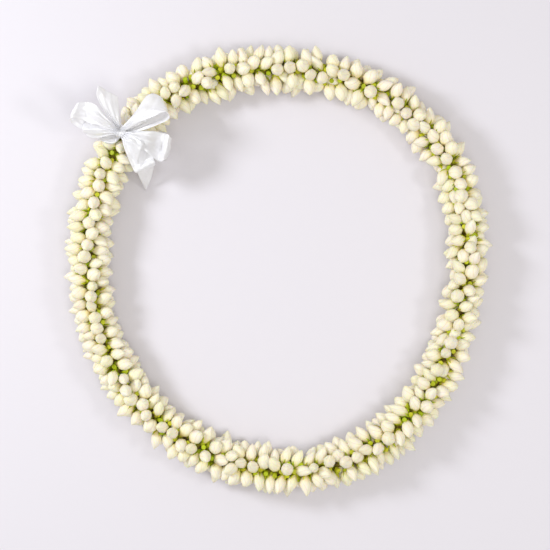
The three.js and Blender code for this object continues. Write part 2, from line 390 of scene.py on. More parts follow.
def satinMaterial():
    look = satinLook
    material, tree, shader = newMaterial("satin")
    stretch = tree.nodes.new("ShaderNodeMapping")
    stretch.inputs["Scale"].default_value = look["weave"]
    feed(tree, uvMap(tree, "cloth"), stretch.inputs[0])
    threads = noise(tree, 1.0, look["weaveDetail"], stretch.outputs[0])
    share = mathNode(tree, "MULTIPLY", threads, look["shadeShare"])
    feed(tree, mixColour(tree, share, look["light"], look["shade"]), shader.inputs["Base Color"])
    feed(tree, ramp(tree, threads, look["roughness"]), shader.inputs["Roughness"])
    bump(tree, threads, *look["relief"], shader)
    setShader(shader, Metallic=0.1, Specular_IOR_Level=0.8, Sheen_Weight=0.15, Sheen_Roughness=0.4,
              Coat_Weight=0.2, Coat_Roughness=0.22, Subsurface_Weight=0.6,
              Subsurface_Radius=(1, 1, 1), Subsurface_Scale=0.0009)
    return material


stalksLook = {
    "colours": [(0.3, (0.06, 0.036, 0.002)), (0.5, (0.19, 0.13, 0.005)), (0.66, (0.38, 0.36, 0.012))],
    "patches": (230.0, 4.0),
    "relief": (0.6, 0.001),
}


def stalksMaterial():
    look = stalksLook
    material, tree, shader = newMaterial("stalks")
    _, patches = mottle(tree, *look["patches"])
    feed(tree, ramp(tree, patches, look["colours"]), shader.inputs["Base Color"])
    bump(tree, patches, *look["relief"], shader)
    setShader(shader, Roughness=0.7)
    return material


cottonLook = {
    "light": (0.80, 0.78, 0.70),
    "shade": (0.62, 0.59, 0.48),
    "fibres": (3000.0, 2.0),
    "relief": (0.5, 0.0002),
}


def cottonMaterial():
    look = cottonLook
    material, tree, shader = newMaterial("cotton")
    colour, fibres = mottle(tree, *look["fibres"], look["light"], look["shade"])
    feed(tree, colour, shader.inputs["Base Color"])
    bump(tree, fibres, *look["relief"], shader)
    setShader(shader, Roughness=0.85, Sheen_Weight=0.3)
    return material


floorLook = {"shade": (0.772, 0.751, 0.800), "light": (0.786, 0.764, 0.813), "grain": (900.0, 3.0)}


def floorMaterial():
    look = floorLook
    material, tree, shader = newMaterial("paperFloor")
    colour, _ = mottle(tree, *look["grain"], look["shade"], look["light"])
    feed(tree, colour, shader.inputs["Base Color"])
    setShader(shader, Roughness=0.8, Specular_IOR_Level=0.2)
    return material


petal, calyx, stalks = petalMaterial(), calyxMaterial(), stalksMaterial()
satin, cotton, paperFloor = satinMaterial(), cottonMaterial(), floorMaterial()
print("materials made")

# one bud of each kind, modelled once: swirl is in degrees from base to tip, lobe is how far
# each petal swells, and the profile gives shares of the length and of the belly's radius
budKinds = {
    "plump": {"length": 0.0151, "belly": 0.0049, "lobe": 0.06, "swirl": 34,
              "profile": [(0, 0.27), (0.12, 0.44), (0.28, 0.82), (0.45, 1.0), (0.63, 0.92),
                          (0.80, 0.68), (0.93, 0.35)]},
    "long": {"length": 0.0166, "belly": 0.0045, "lobe": 0.055, "swirl": 26,
             "profile": [(0, 0.26), (0.12, 0.40), (0.28, 0.78), (0.45, 1.0), (0.64, 0.88),
                         (0.81, 0.57), (0.94, 0.23)]},
    "round": {"length": 0.0139, "belly": 0.0050, "lobe": 0.075, "swirl": 42,
              "profile": [(0, 0.27), (0.12, 0.48), (0.28, 0.88), (0.46, 1.0), (0.65, 0.93),
                          (0.82, 0.72), (0.94, 0.43)]},
    "slim": {"length": 0.0160, "belly": 0.0042, "lobe": 0.05, "swirl": 30,
             "profile": [(0, 0.28), (0.12, 0.44), (0.28, 0.80), (0.44, 1.0), (0.62, 0.90),
                         (0.80, 0.60), (0.93, 0.28)]},
}
budSides = 10
kindShares = [0.42, 0.26, 0.2, 0.12]      # how common each kind is


def layPetals(mesh, turn, rise):
    # the turn round the bud and the rise along it, as UV, where the tip takes its face's middle
    while mesh.uv_layers:
        mesh.uv_layers.remove(mesh.uv_layers[0])
    layer = mesh.uv_layers.new(name="petals")
    for face in mesh.polygons:
        corners = [mesh.loops[k].vertex_index for k in face.loop_indices]
        turns = {v: turn[v] % 1 for v in corners}
        rim = [v for v in corners if rise[v] < 0.999]
        if max(turns[v] for v in rim) - min(turns[v] for v in rim) > 0.5:
            turns = {v: t + 1 if t < 0.5 else t for v, t in turns.items()}
        middle = sum(turns[v] for v in rim) / len(rim)
        for k, v in zip(face.loop_indices, corners):
            layer.data[k].uv = (turns[v] if v in rim else middle, rise[v])


def budModel(kind):
    sizes = budKinds[kind]
    length, swirl, petals = sizes["length"], math.radians(sizes["swirl"]), petalLook["petals"]
    rings = [(share * length, width * sizes["belly"]) for share, width in sizes["profile"]]
    made = drawRings("bud_" + kind, budSides, rings + [(length, 0)], swirl / length)
    mesh = made.data
    co = points(mesh)
    rise = co[:, 2] / length
    turn = np.arctan2(co[:, 1], co[:, 0])
    # each petal swells a little, and winds with the rings
    wave = np.cos(petals * (turn - swirl * rise))
    co[:, :2] *= (1 + sizes["lobe"] * wave * np.sin(math.pi * np.clip(rise, 0, 1)))[:, None]
    putPoints(mesh, co)
    layPetals(mesh, turn / fullTurn, rise)
    mesh.shade_smooth()
    mesh.materials.append(petal)
    return made


budModels = [budModel(kind) for kind in budKinds]
print("bud kinds modelled, faces", [len(model.data.polygons) for model in budModels])

budPlacing = {
    "seed": 7,
    "rootRadius": 0.0034,      # a bud's base, from the thread
    "endGap": 0.002,           # between the last buds and the bare stalks
    "stagger": 0.25,           # of a whorl's pitch, to and fro
    "slideJitter": 0.0013,
    "turnJitter": 0.16,
    "crowd": 0.43,             # the surface crowds the buds up to the top
    "width": (0.93, 1.16),
    "length": (0.96, 1.10),
    "lift": 0.0007,
    "fullest": 112,            # degrees round the ring where the buds are longest
    "fuller": 0.055,           # how much their length varies round the lei
    "droop": (0.68, 0.25),     # side buds hang towards the surface, above and below the thread
    "fullDroop": 0.2,
    "tiltJitter": 0.18,
    "slant": 0.252,            # how far buds lean along the lei
    "slantLimit": 1.1,
    "looser": [(1, 0.45, 30), (2, 0.2, 60)],      # lobes, amount, degrees round the ring
    "sideways": (0.5, 20),     # outer and inner buds lean opposite ways there, in degrees
    "clump": 0.45,             # how far neighbours lean the same way
    "roll": 0.15,              # and roll the same way round it
    "topple": 0.5,             # how far the buds on top lean over sideways
    "sprawl": 0.35,            # and along the lei
    "clumpWaves": (6, (8, 40), (-3, 4), 2.4),     # count, waves along, waves round, divisor
    "rollWaves": (5, (6, 34), (-2, 3), 1.6),
    "parting": (0.45, 0.014),  # the ribbon parts its neighbours by this slant, over this length
}
rng = np.random.default_rng(budPlacing["seed"])


def slowWaves(s, phi, count, along, about, divisor):
    # a sum of waves that run along the lei and round it
    total = np.zeros(len(s))
    for _ in range(count):
        k, m, shift = rng.integers(*along), rng.integers(*about), rng.uniform(0, fullTurn)
        total += np.sin(fullTurn * k * s / ringLength + m * phi + shift) / divisor
    return total


def strungPlaces():
    # distance along the thread and angle round it for each bud, before they settle
    p = budPlacing
    pitch = (ringLength - 2 * lei["neck"]) / lei["whorls"]
    s, phi = [], []
    for whorl in range(lei["whorls"]):
        for row in range(lei["rows"]):
            stagger = p["stagger"] if row % 2 else -p["stagger"]
            s.append(lei["neck"] + (whorl + 0.5 + stagger) * pitch)
            phi.append(twistAt(s[-1]) + row * fullTurn / lei["rows"])
    end = lei["neck"] + p["endGap"]
    s = np.clip(s + rng.normal(0, p["slideJitter"], len(s)), end, ringLength - end)
    phi = phi + rng.normal(0, p["turnJitter"], len(s))
    return s, phi + p["crowd"] * np.cos(phi)


def leans(s, phi, angle, fuller):
    # how far each bud slants along the lei, and the angle round it at which it points
    p = budPlacing
    wave = slowWaves(s, phi, *p["clumpWaves"])
    roll = slowWaves(s, phi, *p["rollWaves"])
    # the lei lies looser at its right and top right
    loose = 1
    for lobes, amount, heading in p["looser"]:
        loose = loose + amount * np.cos(lobes * angle - math.radians(heading))
    slant = loose * (p["clump"] * wave + p["slant"] * rng.standard_t(5, len(s)))
    amount, heading = p["sideways"]
    slant += amount * np.cos(phi) * np.clip(np.cos(angle - math.radians(heading)), 0, 1) ** 2
    fromKnot = np.where(s > ringLength / 2, s - ringLength, s)
    push, reach = p["parting"]
    slant = np.clip(slant, -p["slantLimit"], p["slantLimit"])
    slant += push * np.sign(fromKnot) * np.exp(-(fromKnot / reach) ** 2)
    droop = np.where(np.sin(phi) > 0, *p["droop"]) * np.sin(2 * phi) * (1 + p["fullDroop"] * fuller)
    # the buds on top lean over one way or the other, hardly any stands straight up
    upright = np.clip(np.sin(phi), 0, 1) ** 3
    topple = p["topple"] * upright * np.tanh(3 * np.cos(phi) + 1.5 * roll)
    tilt = phi - droop + rng.normal(0, p["tiltJitter"], len(s)) + p["roll"] * roll - topple
    return slant * (1 + p["sprawl"] * upright), tilt


# neighbours press each other apart: a ball at the belly and one near the tip of each bud
budPressing = {
    "rounds": 40,
    "reach": (0.0070, 0.0116),      # the balls' places along a bud
    "ball": (0.0048, 0.0033),
    "push": 0.30,
    "ribbonPush": 0.6,
    "surfacePush": 0.5,
    "surfaceShare": 0.8,            # how much of a ball stays above the surface
    "turn": 0.6,
    "slide": 0.20,
    "slideLimit": 0.0024,
    "lift": 0.4,
    "liftRange": (-0.0010, 0.0014),
    "wish": 0.23,                   # how strongly a bud keeps its own way
    "bandBalls": (9, 0.6, 0.0105, 0.0028),     # count, angle past the sides, place, radius
    "knotBalls": [(0.013, 0.003), (0.017, 0.0036), (0.0215, 0.0046)],
}


def ribbonBalls():
    # the ribbon's band and knot, as balls that push the buds
    count, past, place, radius = budPressing["bandBalls"]
    knot = np.array(budPressing["knotBalls"])
    angles = np.concatenate([np.linspace(-past, math.pi + past, count), np.full(len(knot), math.pi / 2)])
    away = np.concatenate([np.full(count, place), knot[:, 0]])
    return around(np.zeros(len(away)), angles, away), np.concatenate([np.full(count, radius), knot[:, 1]])


def pushes(centres, radii, others, otherRadii, own=None):
    gap = centres[:, None, :] - others[None, :, :]
    far = np.linalg.norm(gap, axis=2) + 1e-9
    over = np.clip(radii[:, None] + otherRadii[None, :] - far, 0, None)
    if own is not None:
        over[own] = 0
    return (gap / far[..., None] * over[..., None]).sum(1)


def pressApart(root, way, size, stretch, lift):
    p = budPressing
    count = len(root)
    reach = p["reach"]
    radii = np.concatenate([ball * size for ball in p["ball"]])
    owner = np.tile(np.arange(count), 2)
    own = owner[:, None] == owner[None, :]
    ribbon, ribbonRadii = ribbonBalls()
    wish, base, slide = way.copy(), root, np.zeros((count, 3))
    for _ in range(p["rounds"]):
        centres = np.concatenate([base + way * (r * stretch + lift)[:, None] for r in reach])
        push = p["push"] * pushes(centres, radii, centres, radii, own)
        push += p["ribbonPush"] * pushes(centres, radii, ribbon, ribbonRadii)
        push[:, 2] += p["surfacePush"] * np.clip(radii * p["surfaceShare"] - centres[:, 2], 0, None)
        push = push.reshape(2, count, 3)
        change = p["turn"] * (push[0] / reach[0] + push[1] / reach[1])
        along = (change * way).sum(1)
        slide += p["slide"] * (push[0] - (push[0] * way).sum(1)[:, None] * way)
        far = np.linalg.norm(slide, axis=1)
        slide *= (np.minimum(far, p["slideLimit"]) / (far + 1e-9))[:, None]
        base = root + slide
        lift = np.clip(lift + p["lift"] * along * reach[0], *p["liftRange"])
        way = way + change - along[:, None] * way + p["wish"] * (wish - way)
        way /= np.linalg.norm(way, axis=1)[:, None]
    return base + way * lift[:, None], way


def placeBuds():
    p = budPlacing
    s, phi = strungPlaces()
    size = rng.uniform(*p["width"], len(s))
    stretch = rng.uniform(*p["length"], len(s))
    place, outward, up, tangent = frameAt(s)
    angle = np.arctan2(place[:, 1], place[:, 0])
    fuller = np.cos(2 * angle - 2 * math.radians(p["fullest"]))
    stretch *= 1 + p["fuller"] * fuller
    slant, tilt = leans(s, phi, angle, fuller)
    way = spread(outward, up, tilt) + slant[:, None] * tangent
    way /= np.linalg.norm(way, axis=1)[:, None]
    lift = rng.uniform(-p["lift"], p["lift"], len(s))
    root = place + p["rootRadius"] * spread(outward, up, phi)
    root, way = pressApart(root, way, size, stretch, lift)
    return s, root, way, size, stretch


budS, budRoot, budWay, budSize, budStretch = placeBuds()
print("buds placed", len(budS))


def turnedTo(way, spin):
    return Vector(way).to_track_quat("Z", "X").to_matrix().to_4x4() @ Matrix.Rotation(spin, 4, "Z")


budShaping = {
    "bend": 0.0010,                # each bud curves a little its own way, most at its tip
    "bendLength": 0.0155,
    "bendMost": 1.1,
    "pressed": (0.0002, 0.0012),   # what comes within the second height is pressed down to the first
    "paintedWarmthAt": 55,                  # degrees round the ring where the painted warm light is strongest
    "paintedWarmth": (0.35, 0.45),          # how much, and how far round in radians
    "tone": (1.5, 3),              # the spread of the green tint, and of the blush
    "blush": (1.2, 3),
}


def budCopy(k):
    q = budShaping
    made = copyOf(budModels[rng.choice(len(budModels), p=kindShares)])
    mesh = made.data
    co = points(mesh)
    co *= (budSize[k], budSize[k], budStretch[k])
    bend = rng.normal(0, q["bend"], 2)
    rise = np.clip(co[:, 2] / q["bendLength"], 0, q["bendMost"])
    co[:, :2] += bend[None, :] * (rise ** 2)[:, None]
    co = co @ np.array(turnedTo(budWay[k], rng.uniform(0, fullTurn)).to_3x3()).T + budRoot[k]
    # what rests on the surface is pressed flat by it
    floor, near = q["pressed"]
    low = co[:, 2] < near
    co[low, 2] = floor + (near - floor) * np.exp((co[low, 2] - near) / (near - floor))
    putPoints(mesh, co)
    addFloat(mesh, "tone", rng.beta(*q["tone"]))
    # painted warm light: besides each bud's own random blush, buds round one part of the ring get extra
    # blush for warmer light falling there
    angle = math.atan2(budRoot[k, 1], budRoot[k, 0])
    much, wide = q["paintedWarmth"]
    paintedWarmthHere = much * math.exp(-((angle - math.radians(q["paintedWarmthAt"])) / wide) ** 2)
    addFloat(mesh, "blush", min(1, rng.beta(*q["blush"]) + paintedWarmthHere))
    return made


def makeBuds():
    bunches = [[] for _ in range(lei["bunches"])]
    for k, s in enumerate(budS):
        bunches[bunchOf(s)].append(budCopy(k))
    for number, copies in enumerate(bunches, 1):
        made = joinAll("budBunch%02d" % number, copies)
        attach(made, "root")
        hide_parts("buds_%02d" % number)
    for model in budModels:
        bpy.data.objects.remove(model)


makeBuds()
print("bud bunches made")

# the green parts between the buds
calyxSizes = {
    "sides": 6,
    "cup": [(-0.0012, 0.001196), (0.000312, 0.001978), (0.0024, 0.0023)],    # height, radius
    "lobes": 4,
    "lobeSides": 3,
    "lobeTurn": 0.3,
    "lobe": [(0.0018, 0.00095), (0.0042, 0.000855), (0.0066, 0)],
    "lobeOut": [0.0020, 0.0037, 0.0047],      # how far out each ring of a lobe stands
    "spin": 6.28,             # each is turned by up to this angle about its bud
    "lowest": 0.0003,
    "tone": (0, 1),
}
stemSizes = {
    "faces": 8,
    "radius": 0.0019,
    "length": 0.007,
    "wall": 0.0011,
    "bore": 0.0035,
    "tries": 6000,
    "most": 400,
    "sides": 0.6,            # how far down the sides they show, in radians
    "endGap": 0.003,         # none are this near the bare stalks
    "away": 0.0088,          # the ends' distance from the thread
    "budPoints": (0.0035, 0.0065, 0.0095),    # places along a bud that keep clear of them
    "clear": 0.0038,         # a stem end needs this much room among the buds
    "apart": 0.0055,
    "rootRadius": 0.0015,
    "sunk": (0.0060, 0.0075),
    "slideJitter": 0.0015,
    "turnJitter": 0.15,
}
coreSizes = {"sides": 14, "fewest": 6, "step": 0.0022, "inset": 0.0006, "uneven": (-0.0006, 0.0008)}


def calyxModel():
    z = calyxSizes
    parts = [drawRings("cup", z["sides"], z["cup"])]
    for k in range(z["lobes"]):
        lobe = drawRings("lobe", z["lobeSides"], z["lobe"])
        co = points(lobe.data)
        co[:, 0] += np.interp(co[:, 2], [height for height, _ in z["lobe"]], z["lobeOut"])
        putPoints(lobe.data, co)
        lobe.data.transform(Matrix.Rotation(fullTurn * k / z["lobes"] + z["lobeTurn"], 4, "Z"))
        parts.append(lobe)
    made = joinAll("calyxModel", parts)
    made.data.materials.append(calyx)
    made.data.shade_smooth()
    return made


def stemModel():
    # a cut stem end: a short tube with its dark bore
    z = stemSizes
    onlySelect()
    bpy.ops.mesh.primitive_cylinder_add(vertices=z["faces"], radius=z["radius"], depth=z["length"],
                                        end_fill_type="NGON", location=(0, 0, z["length"] / 2))
    made = bpy.context.object
    made.name = "stemModel"
    bpy.ops.object.transform_apply(location=True, rotation=True, scale=True)
    for face in made.data.polygons:
        face.select = face.normal.z > 0.9
    bpy.ops.object.mode_set(mode="EDIT")
    bpy.ops.mesh.select_mode(type="FACE")
    bpy.ops.mesh.inset(thickness=z["wall"])
    bpy.ops.mesh.extrude_region_move(TRANSFORM_OT_translate={"value": (0, 0, -z["bore"])})
    bpy.ops.object.mode_set(mode="OBJECT")
    made.data.materials.append(calyx)
    return made


def coreLength(number):
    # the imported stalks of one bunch, from bunch to bunch
    z = coreSizes
    first = lei["neck"] + number * bunchLength if number else lei["neckEnd"]
    last = (lei["neck"] + (number + 1) * bunchLength if number < lei["bunches"] - 1
            else ringLength - lei["neckEnd"])
    rings = max(z["fewest"], round((last - first) / z["step"]))
    made = drawRings("core", z["sides"], [(k / rings, 1) for k in range(rings + 1)])
    co = points(made.data)
    phi = np.arctan2(co[:, 1], co[:, 0])
    uneven = rng.uniform(*z["uneven"], len(co))
    s = first + co[:, 2] * (last - first)
    putPoints(made.data, around(s, -phi, lei["coreRadius"] - z["inset"] + uneven))
    made.data.materials.append(stalks)
    made.data.shade_smooth()
    addFloat(made.data, "tone", 0.5)
    return made


def stemPlaces():
    # cut stem ends show where the buds leave the widest gaps
    z = stemSizes
    end = lei["neck"] + z["endGap"]
    s = rng.uniform(end, ringLength - end, z["tries"])
    phi = rng.uniform(-z["sides"], math.pi + z["sides"], z["tries"])
    buds = np.concatenate([budRoot + budWay * r for r in z["budPoints"]])
    at = around(s, phi, z["away"])
    clear = np.linalg.norm(at[:, None, :] - buds[None, :, :], axis=2).min(1)
    taken = []
    for k in np.argsort(-clear):
        if len(taken) == z["most"] or clear[k] < z["clear"]:
            break
        if all(np.linalg.norm(at[k] - at[j]) > z["apart"] for j in taken):
            taken.append(k)
    return s[taken], phi[taken], at[taken]


def makeCalyces():
    z = stemSizes
    model, stem = calyxModel(), stemModel()
    bunches = [[coreLength(number)] for number in range(lei["bunches"])]

    def place(source, matrix, s, shift):
        made = copyOf(source)
        made.data.transform(matrix)
        co = points(made.data) + shift
        co[:, 2] = np.maximum(co[:, 2], calyxSizes["lowest"])
        putPoints(made.data, co)
        addFloat(made.data, "tone", rng.uniform(*calyxSizes["tone"]))
        bunches[bunchOf(s)].append(made)

    for s, way, root in zip(budS, budWay, budRoot):
        place(model, turnedTo(way, rng.uniform(0, calyxSizes["spin"])), s, root)
    for s, phi, at in zip(*stemPlaces()):
        way = at - around(s + rng.normal(0, z["slideJitter"]), phi + rng.normal(0, z["turnJitter"]),
                          z["rootRadius"])
        way /= np.linalg.norm(way)
        place(stem, turnedTo(way, 0), s, at - way * rng.uniform(*z["sunk"]))
    for number, copies in enumerate(bunches, 1):
        made = joinAll("calyxBunch%02d" % number, copies)
        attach(made, "root")
    for source in (model, stem):
        bpy.data.objects.remove(source)


makeCalyces()
print("calyces made")

# The satin bow. Each run of ribbon goes through stations: one edge, the other edge, and how far
# its middle stands proud, in millimetres from the middle of the knot.
bow = {
    "knotShift": (-0.0015, 0.0020, 0),
    "thickness": 0.0002,
    "across": 28,
    "along": 84,
    "flat": (0.021, 0.61),
    "cloth": 0.022,                                 # width of the cloth's own UV
    "lift": {"upperRight": 0.185, "left": 0.06},    # how steeply a run climbs from the knot
    "pleats": (3.5, 0.0016, 0.013),                 # count, depth, how far out they fade
    "ripple": (0.0002, 1.3, 0.016),                 # height, waves across, length
    "crown": 1.5,                                   # how narrowly a run's middle stands proud
    "topShare": (0.56, 0.06),                       # the upper side of a loop, and its soft end
}

bowRuns = {
    "upperRight": [
        ((1.5, 1.0, 2.5), (-0.5, 2.5, 1.5), 0.3),
        ((6.5, 3.4, 6), (3.2, 6.2, 2), 0.6),
        ((13, 6.4, 9.5), (8, 11, 2.5), 1.2),
        ((20, 9.2, 12), (12.8, 17.5, 2.5), 1.6),
        ((27, 11.4, 13), (17.6, 24.5, 2), 1.6),
        ((33, 13.6, 12.5), (22.4, 29.7, 1), 0.8),
        ((37, 13.8, 11.5), (28.2, 30.3, -1), 0.0),
        ((39.2, 12.6, 10), (33.3, 26.5, -2.5), 0.0),
        ((39.4, 10.5, 8.5), (33.5, 21.5, -3.5), 0.0),
        ((36, 8.0, 7.2), (29.5, 18.0, -3), 0.6),
        ((29.5, 5.2, 5.8), (23.5, 14.5, -2), 1.0),
        ((21, 2.4, 4.0), (16, 10.5, -1.5), 1.0),
        ((11, 0, 1.5), (8, 5, -1), 0.6),
        ((2, -0.5, -0.5), (0.5, 1.2, -1.5), 0.2),
    ],
    "right": [
        ((2, 0.5, 1.5), (1, -2.5, 1), 0.3),
        ((8, 0.6, 4), (6, -5, 3.5), 0.8),
        ((15, 0.9, 6), (12.5, -9.5, 5.5), 1.2),
        ((22, 1.0, 7.0), (19, -14.5, 5.5), 1.2),
        ((29, 0.8, 3.0), (25, -19.5, 1), 0.4),
        ((33.4, 0.3, -0.6), (29.0, -22.5, -3), 0.0),
        ((36.0, -0.8, 2.2), (31.6, -22.8, -0.5), 0.4),
        ((38.2, -2.0, 3.6), (33.8, -21.8, 0.6), 0.6),
        ((39.8, -4.5, 0), (35.8, -20.5, -4), 0.8),
        ((38, -5, -6), (34, -21.5, -10), 0.6),
        ((30, -3.5, -7.5), (27, -20.5, -13), -1.0),
        ((20, -2, -6), (18.5, -16, -9), -1.0),
        ((10, -1, -4), (9, -8, -5), -0.5),
        ((2, -0.5, -1.5), (1.5, -2.5, -2), 0.0),
    ],
    "lowerRight": [
        ((3, -1, 2), (0, -2, 1.5), 0.4),
        ((9, -2.6, 5), (1.2, -6, 3), 1.6),
        ((16, -4.5, 7), (2.6, -11, 4), 3.0),
        ((20.5, -8, 6.5), (4.6, -17, 3), 2.6),
        ((23.5, -13.5, 3.5), (6.6, -22.5, 1), 0.6),
        ((25.3, -18.5, 0.5), (8.6, -27, -1), -0.8),
        ((26, -21.5, 1.5), (10.2, -30.4, -1), 0.4),
        ((27, -23.5, 0.5), (11.8, -31.5, -2.5), 0.8),
        ((26.5, -25, -4), (13, -30.5, -6), 0.8),
        ((24, -21, -8), (12, -26, -9), 0.0),
        ((18, -13, -8), (8, -17, -9), -0.6),
        ((9, -6, -5), (4, -8, -6), -0.4),
        ((3, -1.5, -2), (1, -2.5, -2), 0.0),
    ],
    "left": [
        ((-1, 2.5, 2), (-2, 0, 2), 0.3),
        ((-6, 7, 6), (-6.5, 1.5, 5), 0.8),
        ((-11.5, 13, 10), (-12.5, 3, 8), 1.4),
        ((-17.5, 19.5, 12.5), (-18, 5.5, 9.5), 1.4),
        ((-22.5, 22.6, 9.5), (-24, 7, 6), 0.6),
        ((-26, 23.6, 6.2), (-28, 9, 3.2), 0.0),
        ((-29.5, 23.6, 8), (-32.5, 10.5, 5.5), 0.1),
        ((-32, 23, 10.5), (-36.5, 11, 8), 0.3),
        ((-34, 22, 10), (-39, 10.8, 7.5), 0.5),
        ((-35.5, 20.5, 6), (-40.5, 10, 2), 0.6),
        ((-35, 18.5, 0), (-40, 8.5, -4), 0.4),
        ((-31, 15, -4), (-34.5, 4.5, -7), -0.6),
        ((-22, 10, -6), (-24, 0.5, -8), -0.6),
        ((-11, 5, -4.5), (-12, -0.5, -5), -0.3),
        ((-2, 1.5, -1.5), (-2, -0.5, -1.5), 0.0),
    ],
    "lowerLeft": [
        ((-2, 1, 1.5), (-1.5, -1.5, 1), 0.3),
        ((-7, 4, 3.5), (-7, -1.5, 2), 1.2),
        ((-12, 7, 3.5), (-12, -2.6, 1), 2.6),
        ((-18, 9.5, 2), (-17.5, -3.6, -1.5), 3.4),
        ((-24, 10, 1), (-22.5, -3.8, -3), 3.4),
        ((-28.3, 8.5, 0.5), (-26.5, -2.4, -3.5), 2.4),
        ((-30, 7, -2), (-29, 0, -6), 1.0),
        ((-28.5, 6, -7), (-27, -1, -11), 0.0),
        ((-21, 5, -8.5), (-20, -4, -12), -0.5),
        ((-15, 1, -6), (-14.8, -7, -8), 0.5),
        ((-9, 0, -4.5), (-8.5, -8.5, -6.5), 0.8),
        ((-4, -0.5, -3), (-4, -6.5, -4.5), 0.5),
        ((-1, 0, -1.5), (-1.5, -2.5, -2), 0.0),
    ],
    "tailUp": [
        ((1, 2, 0), (-1, 1.5, 0), 0.3),
        ((-0.5, 6, 2), (-6, 7.5, 3.5), 0.8),
        ((-1.2, 13, 3), (-12.5, 16, 7), 1.0),
        ((-1.8, 20, 2.5), (-17, 24.5, 9), 0.4),
        ((-2.3, 25, 2), (-18.8, 30, 10.5), -0.6),
        ((-2.8, 28.5, 1.5), (-17.6, 36.5, 11), -1.0),
    ],
    "tailDown": [
        ((4, -3, -3), (1, -3.5, -3), 0.3),
        ((12, -9, -6), (3.5, -11, -6), 0.5),
        ((19, -16, -10), (7, -20, -11), 0.6),
        ((24, -24, -16), (10.5, -28.5, -18), 0.6),
        ((22.5, -32, -25), (13, -35.5, -27), 0.3),
        ((18.5, -40, -33.5), (15.3, -41.5, -34.5), 0.1),
        ((16.7, -43.8, -37.4), (16.3, -44, -37.6), 0.0),
    ],
}

# Folds pressed into the upper side of a run: from, to, height and half width, in millimetres.
bowFolds = {
    "upperRight": [((25, 16.2), (36, 14.4), 1.4, 2.4), ((22, 13.5), (28.5, 27), -1.0, 3.2),
                   ((8, 7.5), (20, 18.5), 0.9, 3.0)],
    "right": [((8, -3), (26, -9), 1.2, 3.5), ((12, -1), (30, -3.5), -0.9, 3.0)],
    "lowerRight": [((17.5, -9), (12.4, -24), 2.3, 4.6), ((5.5, -10), (11.5, -25), -1.7, 3.2),
                   ((2.5, -9), (8.5, -26), 1.0, 2.6), ((21.5, -12), (16.5, -22), -1.4, 3.4)],
    "left": [((-8, 6), (-26, 17), 1.3, 4.0), ((-10, 3), (-26, 11), -1.2, 3.5)],
    "lowerLeft": [((-29, 3.5), (-14, 1.2), 2.0, 4.0), ((-24, 8), (-8, 4.8), -1.5, 3.0)],
    "tailUp": [((-17.5, 34), (-12.5, 27), 1.0, 3.4), ((-3, 8), (-9, 30), 0.8, 3.5)],
    "tailDown": [((8, -12), (15, -36), 0.9, 4.0)],
}

knot = {
    "heading": -24,          # degrees
    "halfLength": 0.0052,
    "halfWidth": 0.0039,
    "halfHeight": 0.0030,
    "roundness": 0.6,        # below 1 the turn is squarer than round
    "taper": (0.30, 2.4),
    "folds": (0.12, 2.5),    # depth as a share, count to each side
    "steps": (32, 30),       # round and along
}
band = {
    "radius": 0.0070,
    "top": 0.0205,           # it is drawn up to the knot
    "drawn": 6,              # how sharply
    "halfWidth": (0.0025, 0.0020),    # round the stalks, and at the knot
    "pleats": (6, 0.00085),
    "steps": (64, 24),
}


def smoothLine(stations, count):
    # a smooth curve through the stations, at even steps of their own parameter
    p = np.asarray(stations, float).reshape(len(stations), -1)
    p = np.concatenate([[2 * p[0] - p[1]], p, [2 * p[-1] - p[-2]]])
    t = np.linspace(0, len(stations) - 1.0001, count)
    k = t.astype(int)
    f = (t - k)[:, None]
    a, b, c, d = p[k], p[k + 1], p[k + 2], p[k + 3]
    curve = (2 * a - 5 * b + 4 * c - d) * f ** 2 + (3 * b - a - 3 * c + d) * f ** 3
    return 0.5 * (2 * b + (c - a) * f + curve)


def clothMesh(name, grid, closed=False):
    # a grid laid out flat, then carried to its points along and across, with its own lengths as UV
    if closed:
        grid = np.concatenate([grid, grid[:1]])
    along, across = grid.shape[:2]
    onlySelect()
    bpy.ops.mesh.primitive_grid_add(x_subdivisions=across - 1, y_subdivisions=along - 1, size=1)
    made = bpy.context.object
    made.name = name
    mesh = made.data
    flat = points(mesh)
    column = np.rint((flat[:, 0] + 0.5) * (across - 1)).astype(int)
    row = np.rint((flat[:, 1] + 0.5) * (along - 1)).astype(int)
    putPoints(mesh, grid[row, column])
    run = np.concatenate([[0], np.cumsum(np.linalg.norm(np.diff(grid.mean(1), axis=0), axis=1))])
    corner = np.zeros(len(mesh.loops), int)
    mesh.loops.foreach_get("vertex_index", corner)
    layer = mesh.uv_layers[0]
    layer.name = "cloth"
    uv = np.stack([column[corner] * bow["cloth"] / (across - 1), run[row[corner]]], 1)
    layer.data.foreach_set("uv", uv.ravel())
    if closed:
        bpy.ops.object.mode_set(mode="EDIT")
        bpy.ops.mesh.select_all(action="SELECT")
        bpy.ops.mesh.remove_doubles(threshold=0.000001)
        bpy.ops.object.mode_set(mode="OBJECT")
    mesh.shade_smooth()
    print("ribbon", name, "length %.4f" % run[-1])
    return made


def zigzag(t):
    # from -1 up to 1 and back, once for each whole t
    return 1 - 4 * np.abs(t % 1 - 0.5)


